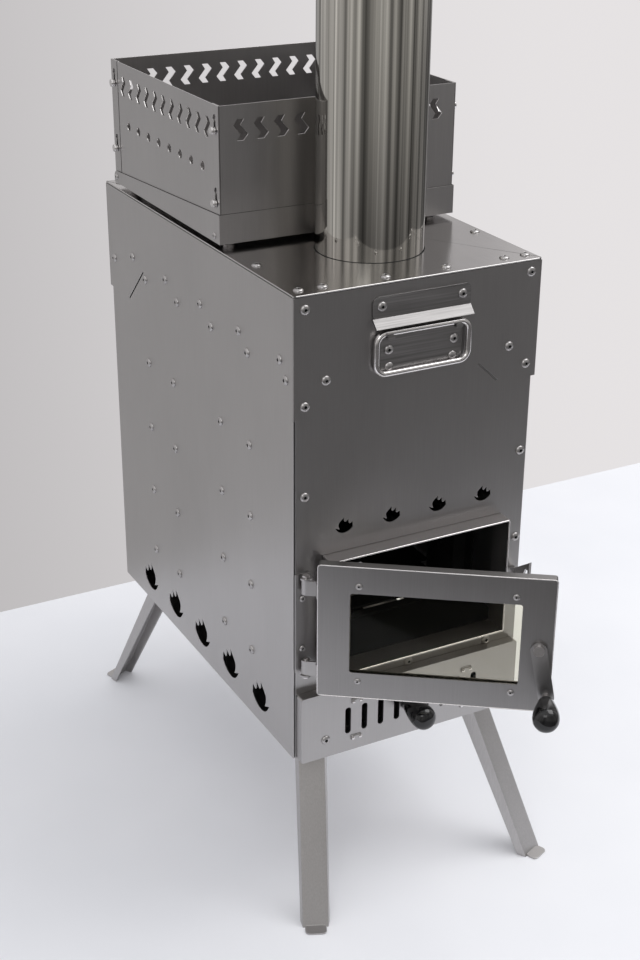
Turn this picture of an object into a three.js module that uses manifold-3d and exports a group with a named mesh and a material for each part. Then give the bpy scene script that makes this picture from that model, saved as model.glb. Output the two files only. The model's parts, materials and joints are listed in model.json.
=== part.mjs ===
// A wood stove for a tent: a folded sheet-steel body on four folding channel legs, a glazed door
// on a collar, a shuttered air inlet, a stone basket and the first length of chimney pipe.
// Millimetres, +Z up. While it is built, X = 0 is the middle of the body, Y = 0 is the face of
// the front panel with +Y going back, and Z = 0 is the floor. At the end the stove is moved so
// that the bottom centre of its bounding box lies at the origin.

import * as THREE from 'three';
import { mergeVertices } from 'three/addons/utils/BufferGeometryUtils.js';
import Module from 'manifold-3d';

// ---------------------------------------------------------------- driving dimensions

const gap = 0.3;                    // clearance between pieces that touch

// body
const bodyWidth = 289;
const bodyDepth = 498;
const bodyHeight = 530;
const standHeight = 189;            // floor to the underside of the body
const sheet = 1.5;
const topSheet = 2;
const bandHeight = 130;             // the wider upper band
const bandOverhang = 8;             // how far the band stands past the lower body, front to back
const frontInsetLeft = 2;           // the front panel's lower edges, in from the band
const frontInsetRight = 5.5;
const frontReturn = 12;
const topCornerRadius = 3;

// flue
const pipeRadius = 57.5;
const pipeWall = 1;
const pipeAboveTop = 460;
const pipeX = 2;
const pipeY = 112;
const socketDepth = 60;
const socketWall = 1.6;
const socketRun = 0.8;              // radial clearance round the pipe
const socketFlange = 16;
const socketLedge = 5;
const pipeSeat = 45;                // pipe length inside the socket

// firebox
const floorHeight = 93;             // above the underside of the body
const grateWidth = 150;
const grateLength = 300;
const grateLap = 8;
const grateSheet = 3;
const grateSlots = 9;
const grateSlotWidth = 8;
const baffleDrop = 84;               // below the top of the body
const baffleSheet = 2;
const baffleFlange = 16;
const smokeGap = 110;
const ductDepth = 18;
const ductWidth = 88;
const ductFlange = 15;
const ductBottom = 72;              // above the underside of the body
const ductTopDrop = 182;            // below the top of the body
const ductFromFront = [140, 344];
const ductHoles = 6;
const ductHoleRadius = 3;
const panLength = 270;
const panWidth = 120;
const panHeight = 30;

// vents
const sideFlameWidth = 43;
const sideFlameCount = 5;
const sideFlamePitch = 80;
const sideFlameFirst = 82;
const sideFlameHeight = 36;         // centre above the underside of the body
const frontFlameWidth = 21;
const frontFlameCount = 4;
const frontFlamePitch = 57;
const frontFlameRise = 29.5;        // centre above the collar
const slitWidth = 2;

// door collar and door
const collarWidth = 222;
const collarHeight = 139.5;
const collarDepth = 19.5;
const collarBehind = 10;
const collarFlange = 9;
const collarLift = 104;             // above the underside of the body
const doorWidth = 243;
const doorHeight = 155;
const doorRim = 11.7;
const doorFaceGap = 3;              // inner face of the door to the collar's edge when shut
const doorCorner = 3;
const windowWidth = 176;
const windowHeight = 94;
const windowCorner = 3;
const glassLap = 12;
const glassThickness = 4;
const retainerWidth = 15;
const doorOpen = 35.2;              // degrees, the angle the door stands at
const hingeX = 14;                  // hinge axis to the shut door's edge
const hingeY = 10.5;                // hinge axis in front of the front panel
const hingeMargin = 37;             // the door's height less the span of the bracket's ears
const hingeDrop = 3.5;              // middle of the bracket below the door's middle
const hingeArmHeight = 17;
const hingeEar = 2;
const hingeEarRadius = 6.5;
const hingePinRadius = 2.5;
const hingePinHead = 4;
const hingeBarrelRadius = 4.8;
const hingeBaseWidth = 17;
const pinRun = 0.3;

// latch
const leverEdge = 14.5;             // pivot in from the door's free edge
const leverDrop = 3;                // pivot below the door's middle
const leverLength = 56;
const leverWidth = 17;
const leverSheet = 3;
const leverTilt = 11;
const leverBoltRadius = 3;
const leverBoltHead = 6;
const studLength = 9;
const studRadius = 4;
const catchX = 132;                 // from the middle of the body
const catchSheet = 3;
const catchTip = 2.6;
const catchRise = 20;               // tip above the lever's middle when latched
const catchBite = 3.8;              // how far the tip hangs in front of the lever
const catchRun = 0.8;
const catchRoot = [-14, -1];        // lower and upper edge at the wall, from the lever's middle
const catchBase = 16;

// knobs
const knobRadius = 14;
const knobNeck = 9;
const knobLength = 44;

// air inlet
const airLeft = 141.5;              // edges of the air panel, from the middle of the body
const airRight = 135.5;
const airHeight = 82;
const airDepth = 12.5;
const slotWidth = 7;
const slotHeight = 33;
const slotPitch = 20.6;
const slotsPerSide = 4;
const slotOuter = 81;               // outermost slot from the middle of the air panel
const slotRise = 39.5;              // slot centre above the panel's lower edge
const shutterMargin = 6;
const shutterTravel = 10.3;
const shutterKnobX = -4.5;          // from the middle of the air panel
const shutterStem = 3;
const bridgeLength = 13;
const bridgeWidth = 5;
const bridgeRise = 2;

// legs
const legInsetX = 36;               // outer face of the leg where it leaves the body
const legInsetFront = 27.5;
const legInsetRear = 31;
const legSplay = 92.5;              // how far the foot stands out past that place
const legHeading = 24;              // degrees from the body's long axis
const legWidth = 29;
const legSheet = 2;
const legFlangeTop = 17.5;
const legFlangeFoot = 10;
const legFlangeSplay = 12;          // degrees the flanges open from square
const footTab = 12.5;
const footTabWidth = 24;
const legPinDrop = 13;              // pin centre below the body
const legPinRadius = 3;
const legPinInset = 10.5;           // pin centre in from the leg's outer face
const legEarRadius = 6;
const legPinHead = 5;

// handles
const handleWidth = 115;
const handleTop = 13.5;             // below the top of the body
const handleUpper = 24.5;
const handleLower = 56;
const handleLowerWidth = 96;
const handleSheet = 1.5;
const hoodReach = 8.5;
const hoodDrop = 7;
const bailWire = 3.2;
const bailHeight = 43;
const bailCorner = 11;
const bailDrop = 13.5;              // bail axis under the hood's fold
const hookWidth = 8;

// stone basket
const basketWidth = 286;
const basketFront = 171.7;
const basketLength = 299;
const basketSheet = 1.2;
const basketFoot = 5.3;
const basketFootRadius = 7;
const trayFrontWall = 31.5;
const trayRearWall = 14;
const basketTop = 149;              // rim above the stove's top
const basketReturn = 18;
const zigzagPitch = 23.3;
const zigzagCount = 11;
const zigzagDrop = 26;              // centre below the rim
const portCount = 8;
const portPitch = 29.5;
const portRadius = 5.2;
const portDrop = 69.5;
const studHeadRadius = 4;
const studShankRadius = 2;
const studOut = 5;
const studDrops = [26, 101.5];      // below the rim
const studFromCorner = 9;
const keyholeRise = 12;

// ---------------------------------------------------------------- places worked out from them

const half = bodyWidth / 2;
const zBase = standHeight;
const zTop = standHeight + bodyHeight;
const zBand = zTop - bandHeight;
const lowerBack = bodyDepth - bandOverhang;
const collarZ = zBase + collarLift;
const doorZ = collarZ + collarHeight / 2;
const airMiddle = (airRight - airLeft) / 2;
const slotZ = zBase + slotRise;
const zFloor = zBase + floorHeight;
const zBaffle = zTop - baffleDrop;
const ductHeight = bodyHeight - ductBottom - ductTopDrop;
const hingeSpan = doorHeight - hingeMargin;
const socketRadius = pipeRadius + socketRun;
const basketZ = zTop + basketFoot;
const zRim = zTop + basketTop;

// ---------------------------------------------------------------- finishes

function finish(color, roughness, metalness) {
  return new THREE.MeshStandardMaterial({ color, roughness, metalness });
}

const brushed = finish(0xa3a19e, 0.38, 1);
const mill = finish(0xb4b1ab, 0.45, 1);
const mirror = finish(0xd6d4d0, 0.06, 1);
const bright = finish(0xc9c8c6, 0.2, 1);
const sooty = finish(0x2a2826, 0.8, 0.4);
const glossBlack = finish(0x0a0a0a, 0.12, 0);
const tinted = finish(0x4a4a32, 0.05, 0);

// ---------------------------------------------------------------- solids

const wasm = await Module();
wasm.setup();

// Corners are rounded to a thousandth of a millimetre, so that faces meant to be level are level.
function solid(geometry) {
  const bare = geometry.clone();
  bare.deleteAttribute('normal');
  bare.deleteAttribute('uv');
  bare.attributes.position.array.forEach((value, index, all) => {
    all[index] = Math.round(value * 1000) / 1000;
  });
  const merged = mergeVertices(bare, 1e-4);
  const mesh = new wasm.Mesh({
    numProp: 3,
    vertProperties: new Float32Array(merged.attributes.position.array),
    triVerts: new Uint32Array(merged.index.array),
  });
  return new wasm.Manifold(mesh);
}

function surface(body) {
  const mesh = body.asOriginal().simplify(0.002).getMesh();
  const geometry = new THREE.BufferGeometry();
  geometry.setAttribute('position', new THREE.BufferAttribute(new Float32Array(mesh.vertProperties), 3));
  geometry.setIndex(new THREE.BufferAttribute(new Uint32Array(mesh.triVerts), 1));
  return geometry;
}

function join(...bodies) {
  return bodies.reduce((sum, body) => sum.add(body));
}

function cut(body, ...tools) {
  return tools.reduce((rest, tool) => rest.subtract(tool), body);
}

function box(x0, x1, y0, y1, z0, z1) {
  const geometry = new THREE.BoxGeometry(x1 - x0, y1 - y0, z1 - z0);
  geometry.translate((x0 + x1) / 2, (y0 + y1) / 2, (z0 + z1) / 2);
  return solid(geometry);
}

// A flat sheet cut from a shape. facing says which way the shape's own axes lie:
// 'front' draws in X and Z and is thick along Y, 'side' draws in Y and Z and is thick along X,
// 'flat' draws in X and Y and is thick along Z. from is the lower face along the thickness.
function plate(shape, facing, from, thickness, curveSegments = 4) {
  const geometry = new THREE.ExtrudeGeometry(shape, { depth: thickness, bevelEnabled: false, curveSegments });
  if (facing === 'front') {
    geometry.rotateX(Math.PI / 2);
    geometry.translate(0, from + thickness, 0);
  } else if (facing === 'side') {
    geometry.applyMatrix4(new THREE.Matrix4().set(0, 0, 1, from, 1, 0, 0, 0, 0, 1, 0, 0, 0, 0, 0, 1));
  } else {
    geometry.translate(0, 0, from);
  }
  return solid(geometry);
}

function rod(radius, length, axis, x, y, z, sides = 16) {
  const geometry = new THREE.CylinderGeometry(radius, radius, length, sides);
  if (axis === 'x') geometry.rotateZ(-Math.PI / 2);
  if (axis === 'z') geometry.rotateX(Math.PI / 2);
  geometry.translate(x, y, z);
  return solid(geometry);
}

function turned(profile, sides) {
  const points = profile.map(([radius, height]) => new THREE.Vector2(radius, height));
  const geometry = new THREE.LatheGeometry(points, sides);
  geometry.rotateX(Math.PI / 2);
  return geometry;
}

// ---------------------------------------------------------------- outlines

function polygon(points) {
  return new THREE.Shape(points.map(([u, v]) => new THREE.Vector2(u, v)));
}

function roundedRect(target, u0, u1, v0, v1, radius) {
  target.moveTo(u0 + radius, v0);
  target.lineTo(u1 - radius, v0);
  target.absarc(u1 - radius, v0 + radius, radius, -Math.PI / 2, 0);
  target.lineTo(u1, v1 - radius);
  target.absarc(u1 - radius, v1 - radius, radius, 0, Math.PI / 2);
  target.lineTo(u0 + radius, v1);
  target.absarc(u0 + radius, v1 - radius, radius, Math.PI / 2, Math.PI);
  target.lineTo(u0, v0 + radius);
  target.absarc(u0 + radius, v0 + radius, radius, Math.PI, Math.PI * 1.5);
  target.closePath();
  return target;
}

function rectHole(u0, u1, v0, v1) {
  return new THREE.Path([[u0, v0], [u1, v0], [u1, v1], [u0, v1]].map(([u, v]) => new THREE.Vector2(u, v)));
}

function roundHole(u, v, radius) {
  const hole = new THREE.Path();
  hole.absarc(u, v, radius, 0, Math.PI * 2);
  return hole;
}

function slotHole(u, v, width, height) {
  const radius = width / 2;
  const reach = height / 2 - radius;
  const hole = new THREE.Path();
  hole.moveTo(u + radius, v - reach);
  hole.lineTo(u + radius, v + reach);
  hole.absarc(u, v + reach, radius, 0, Math.PI);
  hole.lineTo(u - radius, v - reach);
  hole.absarc(u, v - reach, radius, Math.PI, Math.PI * 2);
  return hole;
}

// A slit of the given half run, sloping in the plate.
function slit(u, v, runU, runV) {
  const length = Math.hypot(runU, runV);
  const du = -runV / length * slitWidth / 2;
  const dv = runU / length * slitWidth / 2;
  return new THREE.Path([
    [u - runU - du, v - runV - dv], [u + runU - du, v + runV - dv],
    [u + runU + du, v + runV + dv], [u - runU + du, v - runV + dv],
  ].map(([a, b]) => new THREE.Vector2(a, b)));
}

// A flame of three tongues over a curved hearth, one unit wide. side is 1 or -1 to mirror it.
function flameHole(u, v, width, side) {
  const at = (a, b) => [u + side * a * width, v + b * width];
  const hole = new THREE.Path();
  hole.moveTo(...at(-0.5, -0.17));
  hole.quadraticCurveTo(...at(-0.3, -0.43), ...at(0.05, -0.42));
  hole.quadraticCurveTo(...at(0.33, -0.4), ...at(0.5, -0.08));
  hole.lineTo(...at(0.24, -0.2));
  hole.quadraticCurveTo(...at(0.4, 0.1), ...at(0.24, 0.22));
  hole.lineTo(...at(0, 0.43));
  hole.quadraticCurveTo(...at(0.06, 0.22), ...at(-0.06, 0.17));
  hole.lineTo(...at(-0.25, 0.3));
  hole.quadraticCurveTo(...at(-0.2, 0.1), ...at(-0.3, 0.03));
  hole.lineTo(...at(-0.47, 0.1));
  hole.closePath();
  return hole;
}

// A zigzag of two chevrons, point-symmetric about its centre.
function zigzagHole(u, v, side) {
  const corners = [[-4, 11], [3.5, 11], [8.5, 5], [0, -5], [4, -11], [-3.5, -11], [-8.5, -5], [0, 5]];
  return new THREE.Path(corners.map(([a, b]) => new THREE.Vector2(u + side * a, v + b)));
}

// A keyhole: a narrow neck for the stud's shank, with the round entry for its head above.
function keyhole(u, v) {
  const neck = studShankRadius + gap;
  const entry = studHeadRadius + gap;
  const shoulder = Math.acos(neck / entry);
  const hole = new THREE.Path();
  hole.moveTo(u + neck, v);
  hole.absarc(u, v + keyholeRise, entry, -shoulder, Math.PI + shoulder);
  hole.lineTo(u - neck, v);
  hole.absarc(u, v, neck, Math.PI, Math.PI * 2);
  return hole;
}

function steps(count, first, pitch) {
  return Array.from({ length: count }, (_, index) => first + index * pitch);
}

function centred(count, middle, pitch) {
  return steps(count, middle - pitch * (count - 1) / 2, pitch);
}

// ---------------------------------------------------------------- scene

const stove = new THREE.Group();

function put(name, shape, material, parent = stove) {
  const geometry = shape.isBufferGeometry ? shape : surface(shape);
  const mesh = new THREE.Mesh(geometry, material);
  mesh.name = name;
  parent.add(mesh);
  return mesh;
}

// ---------------------------------------------------------------- body

function frontPanel() {
  const left = -half + frontInsetLeft;
  const right = half - frontInsetRight;
  const shape = polygon([
    [left, zBase], [right, zBase], [right, zBand], [half, zBand],
    [half, zTop - topSheet - gap], [-half, zTop - topSheet - gap], [-half, zBand], [left, zBand],
  ]);
  const collarHalf = collarWidth / 2 + gap;
  shape.holes.push(rectHole(-collarHalf, collarHalf, collarZ - gap, collarZ + collarHeight + gap));
  const airHalf = slotOuter + slotWidth / 2;
  const airRise = slotHeight / 2;
  shape.holes.push(rectHole(airMiddle - airHalf, airMiddle + airHalf, slotZ - airRise, slotZ + airRise));
  for (const x of centred(frontFlameCount, 0, frontFlamePitch)) {
    shape.holes.push(flameHole(x, collarZ + collarHeight + frontFlameRise, frontFlameWidth, -1));
  }
  shape.holes.push(slit(half - 61, zTop - 116, 12.5, -11.5));
  const face = plate(shape, 'front', 0, sheet);
  const back = sheet + frontReturn;
  return join(
    face,
    box(left, left + sheet, sheet / 2, back, zBase, zBand - gap),
    box(right - sheet, right, sheet / 2, back, zBase, zBand - gap),
  );
}

function sidePanel(side) {
  const front = sheet + gap;
  const rear = bodyDepth - sheet - gap;
  const top = zTop - topSheet - gap;
  const lowerFront = bandOverhang - 1;
  const shape = polygon([
    [lowerFront, zBase], [lowerBack, zBase], [lowerBack, zBand - gap], [rear, zBand - gap],
    [rear, top], [front, top], [front, zBand - gap], [lowerFront, zBand - gap],
  ]);
  for (const y of steps(sideFlameCount, sideFlameFirst, sideFlamePitch)) {
    shape.holes.push(flameHole(y, zBase + sideFlameHeight, sideFlameWidth, -1));
  }
  shape.holes.push(slit(bodyDepth - 86, zTop - 107, -24, 23));
  return plate(shape, 'side', side < 0 ? -half : half - sheet, sheet);
}

function backPanel() {
  const inner = half - sheet - gap;
  const lowerFace = lowerBack - sheet;
  return join(
    box(-half, half, bodyDepth - sheet, bodyDepth, zBand, zTop - topSheet - gap),
    box(-inner, inner, lowerFace, bodyDepth, zBand, zBand + sheet),
    box(-inner, inner, lowerFace, lowerBack, zBase, zBand + sheet / 2),
  );
}

function topPlate() {
  const shape = roundedRect(new THREE.Shape(), -half, half, 0, bodyDepth, topCornerRadius);
  shape.holes.push(roundHole(pipeX, pipeY, socketRadius));
  return plate(shape, 'flat', zTop - topSheet, topSheet, 16);
}

const innerLeft = -half + frontInsetLeft + sheet + gap;
const innerRight = half - frontInsetRight - sheet - gap;
const innerFront = sheet + gap;
const innerBack = lowerBack - sheet - gap;

function basePlate() {
  return box(innerLeft, innerRight, innerFront, innerBack, zBase, zBase + topSheet);
}

put('front_panel', frontPanel(), brushed);
put('left_side_panel', sidePanel(-1), brushed);
put('right_side_panel', sidePanel(1), brushed);
put('back_panel', backPanel(), brushed);
put('top_plate', topPlate(), brushed);
put('base_plate', basePlate(), mill);

// ---------------------------------------------------------------- flue

function flueSocket() {
  const under = -topSheet - gap;
  const outer = socketRadius + socketWall;
  const profile = [
    [socketRadius, under], [socketRadius, -socketDepth + sheet], [socketRadius - socketLedge, -socketDepth + sheet],
    [socketRadius - socketLedge, -socketDepth], [outer, -socketDepth], [outer, under - sheet],
    [outer + socketFlange, under - sheet], [outer + socketFlange, under], [socketRadius, under],
  ];
  const geometry = turned(profile, 40);
  geometry.translate(pipeX, pipeY, zTop);
  return solid(geometry);
}

function chimneyPipe() {
  const profile = [
    [pipeRadius - pipeWall, -pipeSeat], [pipeRadius, -pipeSeat],
    [pipeRadius, pipeAboveTop], [pipeRadius - pipeWall, pipeAboveTop], [pipeRadius - pipeWall, -pipeSeat],
  ];
  const geometry = turned(profile, 64);
  geometry.translate(pipeX, pipeY, zTop - socketDepth + sheet + gap + pipeSeat);
  return solid(geometry);
}

put('flue_socket', flueSocket(), sooty);
put('chimney_pipe', chimneyPipe(), mirror);

// ---------------------------------------------------------------- firebox

function ductAt(side, y) {
  const wall = half - sheet - gap;
  const bottom = zBase + ductBottom;
  const edge = ductWidth / 2;
  const hat = edge - ductFlange;
  const place = (depth, reach) => side < 0 ? [-wall + depth, -wall + reach] : [wall - reach, wall - depth];
  const face = polygon([
    [y - hat, bottom], [y + hat, bottom], [y + hat, bottom + ductHeight], [y - hat, bottom + ductHeight],
  ]);
  for (const z of centred(ductHoles, bottom + ductHeight / 2, ductHeight / ductHoles)) {
    face.holes.push(roundHole(y, z, ductHoleRadius));
  }
  const walls = place(0, ductDepth);
  const flange = place(0, sheet);
  const faceFrom = side < 0 ? -wall + ductDepth - sheet : wall - ductDepth;
  return join(
    plate(face, 'side', faceFrom, sheet, 5),
    box(...walls, y - hat, y - hat + sheet, bottom, bottom + ductHeight),
    box(...walls, y + hat - sheet, y + hat, bottom, bottom + ductHeight),
    box(...flange, y - edge, y - hat + sheet / 2, bottom, bottom + ductHeight),
    box(...flange, y + hat - sheet / 2, y + edge, bottom, bottom + ductHeight),
  );
}

function ductRoom(side, y) {
  const wall = half - sheet - gap;
  const reach = ductDepth + gap;
  const edge = ductWidth / 2 + gap;
  const [x0, x1] = side < 0 ? [-wall - 1, -wall + reach] : [wall - reach, wall + 1];
  return box(x0, x1, y - edge, y + edge, zFloor - 1, zFloor + sheet + 1);
}

function fireboxFloor() {
  const middle = (innerFront + innerBack) / 2;
  const shape = polygon([
    [innerLeft, innerFront], [innerRight, innerFront], [innerRight, innerBack], [innerLeft, innerBack],
  ]);
  const holeHalf = grateWidth / 2 - grateLap;
  const holeReach = grateLength / 2 - grateLap;
  shape.holes.push(rectHole(-holeHalf, holeHalf, middle - holeReach, middle + holeReach));
  const deck = plate(shape, 'flat', zFloor, sheet);
  const rooms = [];
  for (const side of [-1, 1]) {
    for (const y of ductFromFront) rooms.push(ductRoom(side, y));
  }
  return cut(deck, ...rooms);
}

function grate() {
  const middle = (innerFront + innerBack) / 2;
  const shape = roundedRect(
    new THREE.Shape(), -grateWidth / 2, grateWidth / 2, middle - grateLength / 2, middle + grateLength / 2, 4,
  );
  const slotLength = grateWidth - 4 * grateLap;
  for (const y of centred(grateSlots, middle, (grateLength - 4 * grateLap) / (grateSlots - 1))) {
    const reach = slotLength / 2;
    shape.holes.push(rectHole(-reach, reach, y - grateSlotWidth / 2, y + grateSlotWidth / 2));
  }
  return plate(shape, 'flat', zFloor + sheet + gap, grateSheet);
}

function ashPan() {
  const middle = (innerFront + innerBack) / 2;
  const low = zBase + topSheet + gap;
  const outer = box(
    -panWidth / 2, panWidth / 2, middle - panLength / 2, middle + panLength / 2, low, low + panHeight,
  );
  const inner = box(
    -panWidth / 2 + sheet, panWidth / 2 - sheet,
    middle - panLength / 2 + sheet, middle + panLength / 2 - sheet, low + sheet, low + panHeight + 1,
  );
  return cut(outer, inner);
}

function baffle() {
  const wall = half - sheet - gap;
  const z = zBaffle;
  const rear = bodyDepth - smokeGap;
  const web = box(-wall, wall, innerFront, rear, z, z + baffleSheet);
  const flanges = [-wall, wall - sheet].map((x) => box(
    x, x + sheet, innerFront, rear, z - baffleFlange, z + baffleSheet + baffleFlange,
  ));
  return join(web, ...flanges);
}

put('firebox_floor', fireboxFloor(), sooty);
put('grate', grate(), sooty);
put('ash_pan', ashPan(), sooty);
put('baffle_shelf', baffle(), sooty);
for (const [name, side, y] of [
  ['air_duct_left_front', -1, ductFromFront[0]], ['air_duct_left_rear', -1, ductFromFront[1]],
  ['air_duct_right_front', 1, ductFromFront[0]], ['air_duct_right_rear', 1, ductFromFront[1]],
]) {
  put(name, ductAt(side, y), sooty);
}

// ---------------------------------------------------------------- door collar

function doorCollar() {
  const edge = collarWidth / 2;
  const top = collarZ + collarHeight;
  const bore = box(
    -edge + sheet, edge - sheet, -collarDepth - 1, collarBehind + 1, collarZ + sheet, top - sheet,
  );
  const tube = box(-edge, edge, -collarDepth, collarBehind, collarZ, top);
  const flange = box(
    -edge - collarFlange, edge + collarFlange, innerFront, innerFront + sheet,
    collarZ - collarFlange + gap * 2, top + collarFlange,
  );
  return cut(join(tube, flange), bore);
}

put('door_collar', doorCollar(), brushed);

// ---------------------------------------------------------------- door

// The door is drawn shut, with its hinge axis at the group's own origin.
const shutLeft = -doorWidth / 2;
const hingeAxisX = shutLeft - hingeX;
const door = new THREE.Group();
door.position.set(hingeAxisX, -hingeY, doorZ);
door.rotation.z = THREE.MathUtils.degToRad(-doorOpen);
stove.add(door);

const faceFront = -collarDepth - doorFaceGap - sheet + hingeY;
const faceBack = faceFront + sheet;
const doorMiddle = hingeX + doorWidth / 2;

function doorPan() {
  const x0 = hingeX;
  const x1 = hingeX + doorWidth;
  const z = doorHeight / 2;
  const outline = roundedRect(new THREE.Shape(), x0, x1, -z, z, doorCorner);
  const boltX = x1 - leverEdge;
  const faceShape = outline.clone();
  const lip = windowHeight / 2;
  const hole = new THREE.Path();
  roundedRect(hole, doorMiddle - windowWidth / 2, doorMiddle + windowWidth / 2, -lip, lip, windowCorner);
  faceShape.holes.push(hole);
  faceShape.holes.push(roundHole(boltX, -leverDrop, leverBoltRadius + pinRun));
  const face = plate(faceShape, 'front', faceFront, sheet, 4);
  const rim = cut(
    plate(outline, 'front', faceFront + sheet / 2, doorRim - sheet / 2, 4),
    box(x0 + sheet, x1 - sheet, faceFront, faceFront + doorRim + 1, -z + sheet, z - sheet),
  );
  return join(face, rim);
}

function doorGlass() {
  const u = windowWidth / 2 + glassLap;
  const v = windowHeight / 2 + glassLap;
  const shape = roundedRect(new THREE.Shape(), doorMiddle - u, doorMiddle + u, -v, v, 2);
  return plate(shape, 'front', faceBack + gap, glassThickness, 2);
}

function glassRetainer() {
  const u = windowWidth / 2 + retainerWidth;
  const v = windowHeight / 2 + retainerWidth;
  const shape = roundedRect(new THREE.Shape(), doorMiddle - u, doorMiddle + u, -v, v, 3);
  shape.holes.push(rectHole(
    doorMiddle - windowWidth / 2, doorMiddle + windowWidth / 2, -windowHeight / 2, windowHeight / 2,
  ));
  return plate(shape, 'front', faceBack + gap + glassThickness + gap, sheet, 2);
}

put('door_pan', doorPan(), brushed, door);
put('door_glass', doorGlass(), tinted, door);
put('glass_retainer', glassRetainer(), mill, door);

// The hinge: one bracket on the front panel with an ear at each end, and inside each ear an arm
// of the door, held by a headed pin.
const hingeZ = doorZ - hingeDrop;

function hingeBracket() {
  const x = hingeAxisX;
  const halfSpan = hingeSpan / 2;
  const base = box(x - 8, x - 8 + hingeBaseWidth, -gap - hingeEar, -gap, hingeZ - halfSpan, hingeZ + halfSpan);
  const ears = [hingeZ - halfSpan, hingeZ + halfSpan - hingeEar].map((low) => {
    const shape = new THREE.Shape();
    shape.moveTo(x - hingeEarRadius, -gap - hingeEar / 2);
    shape.absarc(x, -hingeY, hingeEarRadius, Math.PI, Math.PI * 2);
    shape.lineTo(x + hingeEarRadius, -gap - hingeEar / 2);
    shape.closePath();
    shape.holes.push(roundHole(x, -hingeY, hingePinRadius + pinRun));
    return plate(shape, 'flat', low, hingeEar, 6);
  });
  return join(base, ...ears);
}

// A pin and an arm are drawn with the ear's outer face at Z = 0 and the hinge running down.
function hingePin(up) {
  const length = hingeEar + gap + hingeArmHeight + 2;
  return join(
    rod(hingePinRadius, length, 'z', 0, 0, up * (gap + 0.5 - length / 2)),
    rod(hingePinHead, 2, 'z', 0, 0, up * (gap + 1)),
  );
}

function hingeArm(up) {
  const middle = -up * (hingeEar + gap + hingeArmHeight / 2);
  const low = middle - hingeArmHeight / 2;
  const high = middle + hingeArmHeight / 2;
  const leafX = hingeX - gap - hingeEar;
  const leaf = box(leafX, leafX + hingeEar, faceFront + 3, faceFront + doorRim - 1, low, high);
  const web = box(0, leafX + hingeEar / 2, -hingeBarrelRadius, -hingeBarrelRadius + hingeEar, low, high);
  const bore = rod(hingePinRadius + pinRun, hingeArmHeight + 2, 'z', 0, 0, middle);
  return cut(join(rod(hingeBarrelRadius, hingeArmHeight, 'z', 0, 0, middle), web, leaf), bore);
}

put('hinge_bracket', hingeBracket(), mill);
for (const [name, up] of [['upper', 1], ['lower', -1]]) {
  const earZ = hingeZ + up * hingeSpan / 2;
  put(`hinge_pin_${name}`, hingePin(up), bright).position.set(hingeAxisX, -hingeY, earZ);
  put(`door_hinge_arm_${name}`, hingeArm(up), mill, door).position.set(0, 0, earZ - doorZ);
}

// ---------------------------------------------------------------- latch

// An egg-shaped grip, drawn with its neck at the origin and its length along +Z.
function knobProfile() {
  const points = [[0, 0], [knobNeck, 0]];
  const rounds = 9;
  for (let step = 0; step <= rounds; step += 1) {
    const turn = (step / rounds) * Math.PI / 2;
    const height = knobLength - knobRadius + knobRadius * Math.sin(turn);
    points.push([knobRadius * Math.cos(turn), height]);
  }
  points.splice(2, 0, [knobNeck + (knobRadius - knobNeck) * 0.6, (knobLength - knobRadius) * 0.35]);
  points[points.length - 1][0] = 0;
  return points;
}

function knob() {
  return solid(turned(knobProfile(), 20));
}

function facingFront(body) {
  return body.rotate([90, 0, 0]);
}

const lever = new THREE.Group();
lever.position.set(hingeX + doorWidth - leverEdge, faceFront - gap, -leverDrop);
lever.rotation.y = THREE.MathUtils.degToRad(-leverTilt);
door.add(lever);

function latchLever() {
  const radius = leverWidth / 2;
  const shape = new THREE.Shape();
  shape.absarc(0, 0, radius, 0, Math.PI);
  shape.lineTo(-radius, -leverLength);
  shape.absarc(0, -leverLength, radius, Math.PI, Math.PI * 2);
  shape.closePath();
  shape.holes.push(roundHole(0, 0, leverBoltRadius + pinRun));
  const strap = plate(shape, 'front', -leverSheet, leverSheet, 8);
  const stud = rod(studRadius, studLength, 'y', 0, -leverSheet - studLength / 2 + 0.5, -leverLength, 12);
  return join(strap, stud);
}

function leverBolt() {
  const outer = -leverSheet - gap;
  const inner = gap + sheet + gap;
  const shank = rod(leverBoltRadius, inner - outer + 1, 'y', 0, (inner + outer) / 2, 0);
  const outerHead = rod(leverBoltHead, 2, 'y', 0, outer - 1, 0);
  const innerHead = rod(leverBoltHead, 1.8, 'y', 0, inner + 0.9, 0);
  return join(shank, outerHead, innerHead);
}

put('latch_lever', latchLever(), mill, lever);
put('latch_bolt', leverBolt(), bright, lever);
const leverKnob = put('lever_knob', facingFront(knob()), glossBlack, lever);
leverKnob.position.set(0, -leverSheet - studLength + 0.5 - gap, -leverLength);

function latchCatch() {
  const z = doorZ - leverDrop;
  const [low, high] = catchRoot;
  const leverBack = faceFront - hingeY - gap;
  const leverTop = leverWidth / 2 + catchRun;
  const tip = leverBack - leverSheet - catchRun;
  const arm = polygon([
    [-gap, z + low], [leverBack + 4, z + leverTop - 8], [leverBack + catchRun, z + leverTop],
    [tip, z + leverTop], [tip, z + leverTop - catchBite], [tip - catchTip, z + leverTop - catchBite],
    [tip - catchTip, z + catchRise], [tip, z + catchRise - 2], [-gap, z + high],
  ]);
  const right = catchX + catchSheet / 2;
  return join(
    plate(arm, 'side', catchX, catchSheet),
    box(right - catchBase, right, -gap - catchSheet, -gap, z + low - 4, z + high + 3),
  );
}

put('latch_catch', latchCatch(), mill);

// ---------------------------------------------------------------- air inlet

function slotPlaces() {
  const places = [];
  for (const side of [-1, 1]) {
    for (let index = 0; index < slotsPerSide; index += 1) {
      places.push(airMiddle + side * (slotOuter - index * slotPitch));
    }
  }
  return places;
}

const shutterKnobAt = airMiddle + shutterKnobX;

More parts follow.
